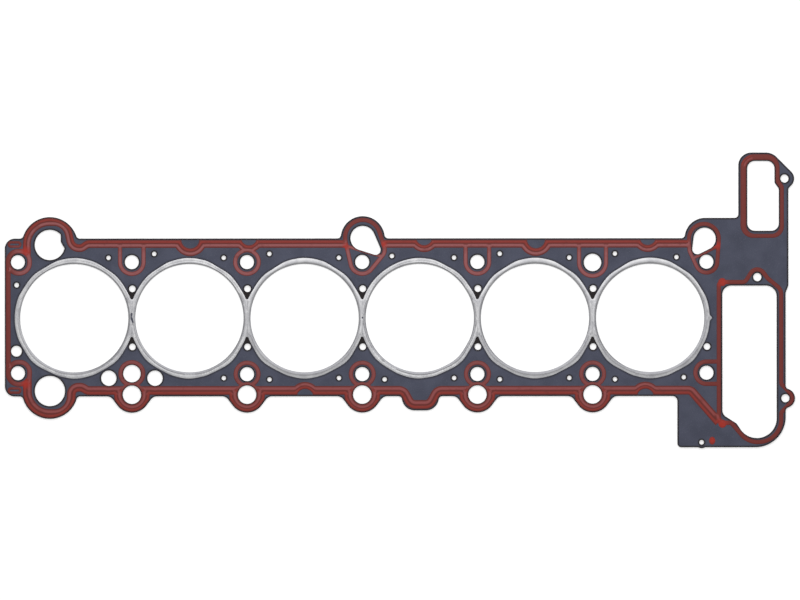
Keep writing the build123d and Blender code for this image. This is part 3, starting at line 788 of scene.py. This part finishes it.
@dataclass
class Facings:
    """The two soft facings, punched in one stroke with the core between them.

    The painted edge shade is full up to the first distance of the margin from an edge and gone at
    the second. It is also deep in the tips between two rings, and shallower along the rings.
    """

    finish: FacingFinish = FacingFinish()
    step: float = 1.2 * MM
    rows: tuple[float, ...] = (0.12 * MM, 0.5 * MM, 1.0 * MM, 1.6 * MM)
    closest: float = 0.3 * MM
    rollover: float = 0.06 * MM
    margin: tuple[float, float] = (0.6 * MM, 1.7 * MM)
    tip_height: float = 15.5
    tip_reach: float = 13.0
    tip_depth: float = 1.5
    # how much of the painted edge shade the recess rim along the rings gets
    recess_shade_share: float = 0.55
    edge: FlangeEdge = FlangeEdge()

    def build(self) -> None:
        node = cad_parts["facing_top"]
        heights = sorted({round(vert.co.z, 6) for vert in node.data.vertices})
        foot, ledge, face = heights[0], heights[1], heights[-1]
        centres = bore_centres()
        face_rims = flat_rims(node, face, self.step)
        ledge_rims = flat_rims(node, ledge, self.step)
        recess_area = max(rim.area() for rim in ledge_rims)
        recess = min(face_rims, key=lambda rim: abs(rim.area() + recess_area))
        recess.points[:] = [self.edge.moved(point, centres) for point in recess.points]
        punched_rims = [rim for rim in face_rims if rim is not recess]
        bore_rims = [rim for rim in ledge_rims if rim.area() < 0]

        plan = Plan(face_rims)
        sheet = plan.mesh(self.rows, self.closest)
        self.roll_and_shade(sheet, face, plan, Plan(punched_rims), centres)
        places = {self.key(point) for point in recess.points}
        rims = [edge for edge in sheet.edges if edge.is_boundary]
        recess_edges = {edge for edge in rims
                        if all(self.key(vert.co) in places for vert in edge.verts)}
        through_edges = [edge for edge in rims if edge not in recess_edges]
        drop_walls(sheet, [edge for edge in rims if edge in recess_edges], ledge)
        drop_walls(sheet, through_edges, foot)
        add_flat(sheet, Plan([Rim(recess.points[::-1]), *bore_rims]), ledge, up=True)
        drop_walls(sheet, [edge for edge in sheet.edges if self.on_bore(edge, ledge)], foot)
        add_flat(sheet, Plan([*punched_rims, *bore_rims]), foot, up=False)
        close_up(sheet)

        top = make_piece(sheet, "facing_head_side", self.finish.material())
        bottom = turn_over(top, "facing_block_side")
        declare(top, "facing_top")
        declare(bottom, "facing_bottom")

    def roll_and_shade(self, sheet: Sheet, face: float, plan: Plan, punched: Plan,
              centres: Sequence[Vector]) -> None:
        """Roll the edges of the face over and store how much painted shade each place gets.

        Args:
            sheet: The flat mesh of the face.
            face: The face's height.
            plan: The face's plan.
            punched: The same plan without the recess.
            centres: The bores' centres.
        """
        layer = sheet.verts.layers.float.new("edge_shade")
        tips = [Spot((a.x + b.x) / 2 / MM, side * self.tip_height, self.tip_reach)
                for a, b in zip(centres, centres[1:]) for side in (-1, 1)]
        for vert in sheet.verts:
            distance = 0.0 if vert.is_boundary else plan.distance(vert.co)
            # painted shade in the tips between two rings
            tip_shade = min(1.0, self.tip_depth * max(tip.share(vert.co) for tip in tips))
            cut_shade = self.edge_shade(punched.distance(vert.co))
            # painted shade: full along punched edges, weaker along the recess rim
            vert[layer] = max(cut_shade, self.recess_shade_share * self.edge_shade(distance), tip_shade)
            vert.co.z = face - self.rollover * max(0.0, 1 - distance / self.rows[0])

    def edge_shade(self, distance: float) -> float:
        """Say how much painted shade a place gets at a distance from its rim."""
        full, none = self.margin
        return clamp((none - distance) / (none - full))

    @staticmethod
    def on_bore(edge: bmesh.types.BMEdge, ledge: float) -> bool:
        """Tell whether an edge is an open one round a bore, at the height of the ledge."""
        lying = all(abs(vert.co.z - ledge) < WELD for vert in edge.verts)
        return lying and edge.is_boundary and edge.link_faces[0].normal.z > LYING

    @staticmethod
    def key(point: Vector) -> tuple[int, int]:
        """Name a place by its whole microns."""
        return (round(point.x / MICRON), round(point.y / MICRON))


@dataclass
class SealingPrint:
    """The red print: broad bands with two ridges and narrow rails with one.

    Crests lie at fixed distances from a band's edges, and nearer where it is below its full width.
    Rails are paler the further they lie from the sheet's edge. Both carry a painted sheen from
    above, so they are less pale towards the foot, where the least share is left, and at the end
    with the chain opening.
    """

    finish: PrintFinish = PrintFinish()
    step: float = 0.8 * MM
    rows: tuple[float, ...] = tuple(
        MM * row for row in (0.2, 0.45, 0.8, 1.25, 1.7, 2.15, 2.6, 3.1, 3.6, 4.2))
    closest: float = 0.32 * MM
    broad: float = 4.7 * MM
    full_width: float = 5.6 * MM
    inner_crest: float = 2.3 * MM
    outer_crest: float = 1.6 * MM
    rim_share: float = 0.3
    groove_share: float = 0.35
    pale_from: float = 4.0 * MM
    pale_to: float = 12.0 * MM
    # painted sheen from above: it fades towards the foot and at the end with the chain opening
    sheen_foot: tuple[float, float, float] = (-75.0 * MM, 45.0 * MM, 0.25)
    sheen_end: tuple[float, float] = (258.0 * MM, 275.0 * MM)
    broad_least: float = 0.45
    joints: tuple[Spot, ...] = (
        Spot(-266.0, 53.0, 6.0),
        Spot(-266.0, -52.0, 6.0),
        Spot(-12.9, 56.4, 4.0),
        Spot(17.0, 58.2, 4.0),
        Spot(281.0, 57.0, 5.0),
        Spot(284.6, 27.9, 6.5),
        Spot(284.3, -83.9, 7.0),
        Spot(276.5, -96.8, 5.0),
    )
    pieces: tuple[str, ...] = ("perimeter", "slot", "upper_lug", "lower_lug", "spot")
    tones: tuple[str, ...] = ("ridge", "pale", "single", "joint")

    def build(self) -> None:
        material = self.finish.material()
        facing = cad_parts["facing_top"]
        outline = Plan(flat_rims(facing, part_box("facing_top")[1][2], self.step)[:1])
        for name in self.pieces:
            sheet = self.raised(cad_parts[f"{name}_bead_top"], outline)
            top = make_piece(sheet, f"{name}_print_head_side", material)
            bottom = turn_over(top, f"{name}_print_block_side")
            declare(top, f"{name}_bead_top")
            declare(bottom, f"{name}_bead_bottom")

    def raised(self, node: bpy.types.Object, outline: Plan) -> Sheet:
        """Build one print with its ridges and store its tones.

        Args:
            node: The frame's node.
            outline: The sheet's outer edge.

        Returns:
            The mesh.
        """
        low, high = (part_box(node.name)[end][2] for end in (0, 1))
        plan = Plan(flat_rims(node, high, self.step))
        sheet = plan.mesh(self.rows, self.closest)
        layers = {tone: sheet.verts.layers.float.new(tone) for tone in self.tones}
        rims = [edge for edge in sheet.edges if edge.is_boundary]
        for vert in sheet.verts:
            station = plan.station(vert.co)
            if vert.is_boundary:
                station.near = 0.0
            tones = self.profile(station, outline)
            tones["joint"] = max(joint.share(vert.co) for joint in self.joints)
            for tone, layer in layers.items():
                vert[layer] = tones[tone]
            vert.co.z = low + (high - low) * tones["height"]
        drop_walls(sheet, rims, low)
        add_flat(sheet, plan, low, up=False)
        close_up(sheet)
        return sheet

    def profile(self, station: Station, outline: Plan) -> dict[str, float]:
        """Give the height and the tones of the print at a station.

        Args:
            station: The station.
            outline: The sheet's outer edge, where the ridges are the least pale.

        Returns:
            The share of the full height, and what the finish reads.
        """
        edge_distance = outline.distance(station.near_foot)
        if station.across < self.broad:
            return self.rail(station, edge_distance)
        return self.band(station, edge_distance < outline.distance(station.far_foot))

    def rail(self, station: Station, edge_distance: float) -> dict[str, float]:
        """Give the profile of a narrow rail.

        Args:
            station: The station.
            edge_distance: How far the rail lies from the sheet's outer edge.

        Returns:
            The share of the full height, and what the finish reads.
        """
        crest = station.across / 2 or self.inner_crest
        ridge = math.sin(math.pi / 2 * min(1.0, station.near / crest))
        pale = clamp((edge_distance - self.pale_from) / (self.pale_to - self.pale_from))
        height = self.rim_share + (1 - self.rim_share) * ridge
        # painted sheen from above
        pale *= self.top_sheen(station.near_foot)
        return {"height": height, "ridge": ridge, "pale": pale, "single": 1.0}

    def band(self, station: Station, outer_is_near: bool) -> dict[str, float]:
        """Give the profile of a broad band, which is pale only on its inner ridge.

        Args:
            station: The station.
            outer_is_near: Whether the station is nearer to the band's outer edge.

        Returns:
            The share of the full height, and what the finish reads.
        """
        from_inner = station.across - station.near if outer_is_near else station.near
        squeeze = min(1.0, station.across / self.full_width)
        inner, outer = self.inner_crest * squeeze, station.across - self.outer_crest * squeeze
        groove = (inner + outer) / 2
        knots = ((0.0, self.rim_share, 0.0), (inner, 1.0, 1.0), (groove, self.groove_share, 0.0),
                 (outer, 1.0, 1.0), (station.across, self.rim_share, 0.0))
        height, ridge = eased(knots, from_inner)
        pale = 0.0
        if from_inner < groove:
            # painted sheen from above on the inner ridge
            pale = self.broad_least + (1 - self.broad_least) * self.top_sheen(station.near_foot)
        return {"height": height, "ridge": ridge, "pale": pale, "single": 0.0}

    def top_sheen(self, place: Vector) -> float:
        """Say how much of the painted sheen from above a place's paleness keeps.

        Args:
            place: The place.

        Returns:
            The share of the paleness.
        """
        foot, top, least = self.sheen_foot
        start, end = self.sheen_end
        height = clamp((place.y - foot) / (top - foot))
        along = clamp((end - place.x) / (end - start))
        return (least + (1 - least) * height) * along


@dataclass
class CorePlate:
    """The steel plate between the facings, which shows only along its edges."""

    finish: SteelFinish = SteelFinish(clean=(0.50, 0.50, 0.52), dull=(0.40, 0.40, 0.42))

    def build(self) -> None:
        """Dress the frame's node."""
        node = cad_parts["core_plate"]
        node.data.materials.clear()
        node.data.materials.append(self.finish.material("core_steel"))
        log.info("%s: dressed", node.name)


@dataclass
class FireRings:
    """The six steel rings, folded round the bores, with a pressed line along their flanges.

    The relief gives the flange's depth at distances from its outer edge, both in millimetres. The
    line has a place, a reach and a painted shade. The folded edge has painted shade, heavier at
    the foot, where it faces the lamp, than at the top.
    """

    finish: SteelFinish = SteelFinish()
    edge: FlangeEdge = FlangeEdge()
    rows: tuple[float, ...] = tuple(
        MM * row for row in (0.2, 0.5, 0.9, 1.3, 1.7, 2.1, 2.5, 3.0, 3.6))
    closest: float = 0.35 * MM
    relief: tuple[tuple[float, float], ...] = ((0.0, 0.21), (0.7, 0.12), (1.6, 0.10), (2.6, 0.0))
    line: tuple[float, float] = (2.1 * MM, 0.8 * MM)
    # painted shade along the pressed line, and on the folded edge from the foot to the top
    line_shade: float = 0.6
    fold_shade: tuple[float, float] = (0.8, 0.2)

    def build(self) -> None:
        """Build and declare each ring."""
        material = self.finish.material("ring_steel")
        for index, centre in enumerate(bore_centres(), 1):
            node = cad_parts[f"fire_ring_{index}"]
            ring = make_piece(self.pressed(node, centre), f"bore_ring_{index}", material)
            declare(ring, node.name)

    def pressed(self, node: bpy.types.Object, centre: Vector) -> Sheet:
        """Copy a ring, press a line along both of its flanges and let their outer edges wave.

        Args:
            node: The frame's ring.
            centre: Its bore's centre.

        Returns:
            The mesh.
        """
        low, high = (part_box(node.name)[end][2] for end in (0, 1))
        plan = Plan(flat_rims(node, high, math.inf))
        outer = Plan(plan.rims[:1])
        sheet = bmesh.new()
        sheet.from_mesh(node.data)
        bmesh.ops.remove_doubles(sheet, verts=sheet.verts, dist=WELD)
        flanges = [face for face in sheet.faces for level in (low, high)
                   if all(abs(vert.co.z - level) < LEVEL_SLACK for vert in face.verts)]
        bmesh.ops.delete(sheet, geom=flanges, context="FACES")
        for level, up in ((low, False), (high, True)):
            add_flat(sheet, plan, level, up, self.rows, self.closest)
        layer = sheet.verts.layers.float.new("ring_shade")
        place, reach = self.line
        foot_shade, top_shade = self.fold_shade
        for vert in sheet.verts:
            distance = outer.distance(Vector((vert.co.x, vert.co.y, 0.0)))
            arm = (vert.co - centre).to_2d().normalized()
            # painted shade on the folded edge, heavier at the foot, where it faces the lamp
            vert[layer] = foot_shade + (top_shade - foot_shade) * (1 + arm.y) / 2
            for level, sign in ((low, 1.0), (high, -1.0)):
                if abs(vert.co.z - level) < LEVEL_SLACK:
                    drop, = eased(self.relief, distance / MM)
                    vert.co.z += sign * drop * MM
                    # painted shade along the pressed line
                    vert[layer] = self.line_shade * max(0.0, 1 - abs(distance - place) / reach)
                    break
            vert.co = self.edge.moved(vert.co, [centre])
        close_up(sheet)
        return sheet


@dataclass
class Studio:
    """The pale floor, the soft light and the camera over the gasket.

    Lengths are in metres, but the camera's sensor is in millimetres.
    """

    centre_x: float = 29.86 * MM
    centre_y: float = 14.21 * MM
    view_width: float = 632.0 * MM
    height: float = 4.0
    sensor: float = 36.0
    tilt: float = math.radians(-0.042)
    floor_size: float = 3.0
    floor_colour: Colour = (0.93, 0.93, 0.93)
    floor_roughness: float = 0.9
    floor_glow: float = 0.4
    zenith: float = 0.72
    horizon: float = 0.30
    bright_pole: tuple[float, float, float] = (0.0, 0.37, 0.93)
    lamp_place: tuple[float, float, float] = (0.05, 0.38, 0.62)
    lamp_size: float = 0.9
    lamp_power: float = 2.6

    def build(self) -> None:
        """Set up the stage."""
        self.floor()
        self.sky()
        self.key_light()
        self.camera()
        bpy.context.scene.view_settings.view_transform = "Standard"

    def floor(self) -> None:
        """Lay the floor under the gasket, with a glow that only the camera and gloss see."""
        sheet = bmesh.new()
        bmesh.ops.create_grid(sheet, x_segments=1, y_segments=1, size=self.floor_size)
        nodes = Nodes("floor_paper")
        nodes.shader.inputs["Emission Color"].default_value = rgba(WHITE)
        path = nodes.tree.nodes.new("ShaderNodeLightPath")
        seen = path.outputs["Is Camera Ray"]
        for mirrored in ("Is Glossy Ray", "Is Transmission Ray"):
            both = nodes.tree.nodes.new("ShaderNodeMath")
            both.operation = "ADD"
            nodes.link(seen, both.inputs[0])
            nodes.link(path.outputs[mirrored], both.inputs[1])
            seen = both.outputs["Value"]
        glow = nodes.spread(seen, 0.0, 1.0, 0.0, self.floor_glow)
        nodes.link(glow, nodes.shader.inputs["Emission Strength"])
        paper = nodes.finish(self.floor_colour, self.floor_roughness, specular=0.0)
        make_piece(sheet, "floor", paper)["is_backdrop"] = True

    def sky(self) -> None:
        """Light the scene from a pale sky that is brightest near the zenith."""
        world = bpy.data.worlds.new("studio")
        bpy.context.scene.world = world
        world.use_nodes = True
        tree = world.node_tree
        tree.nodes.clear()
        place = tree.nodes.new("ShaderNodeTexCoord")
        lean = tree.nodes.new("ShaderNodeVectorMath")
        lean.operation = "DOT_PRODUCT"
        lean.inputs[1].default_value = self.bright_pole
        fade = tree.nodes.new("ShaderNodeMapRange")
        fade.inputs["To Min"].default_value = self.horizon
        fade.inputs["To Max"].default_value = self.zenith
        glow = tree.nodes.new("ShaderNodeBackground")
        glow.inputs["Color"].default_value = rgba(WHITE)
        output = tree.nodes.new("ShaderNodeOutputWorld")
        tree.links.new(place.outputs["Generated"], lean.inputs[0])
        tree.links.new(lean.outputs["Value"], fade.inputs["Value"])
        tree.links.new(fade.outputs["Result"], glow.inputs["Strength"])
        tree.links.new(glow.outputs["Background"], output.inputs["Surface"])

    def key_light(self) -> None:
        """Hang a soft lamp over the slot's side."""
        data = bpy.data.lights.new("soft_key", "AREA")
        data.size = self.lamp_size
        data.energy = self.lamp_power
        lamp = bpy.data.objects.new("soft_key", data)
        lamp.location = self.lamp_place
        lamp.visible_camera = False
        aim = Vector((self.centre_x, 0.0, 0.0)) - lamp.location
        lamp.rotation_euler = aim.to_track_quat("-Z", "Y").to_euler()
        bpy.context.scene.collection.objects.link(lamp)

    def camera(self) -> None:
        """Look straight down through a long lens."""
        data = bpy.data.cameras.new("overhead")
        data.sensor_width = self.sensor
        data.lens = self.sensor * self.height / self.view_width
        camera = bpy.data.objects.new("overhead", data)
        camera.location = (self.centre_x, self.centre_y, self.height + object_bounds()[1][2])
        camera.rotation_euler = (0.0, 0.0, self.tilt)
        bpy.context.scene.collection.objects.link(camera)
        bpy.context.scene.camera = camera


def main() -> None:
    """Build the looks around the frame."""
    logging.basicConfig(level=logging.INFO, format="%(name)s: %(message)s")
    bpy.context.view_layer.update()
    Facings().build()
    SealingPrint().build()
    CorePlate().build()
    FireRings().build()
    Studio().build()


if __name__ == "__main__":
    main()
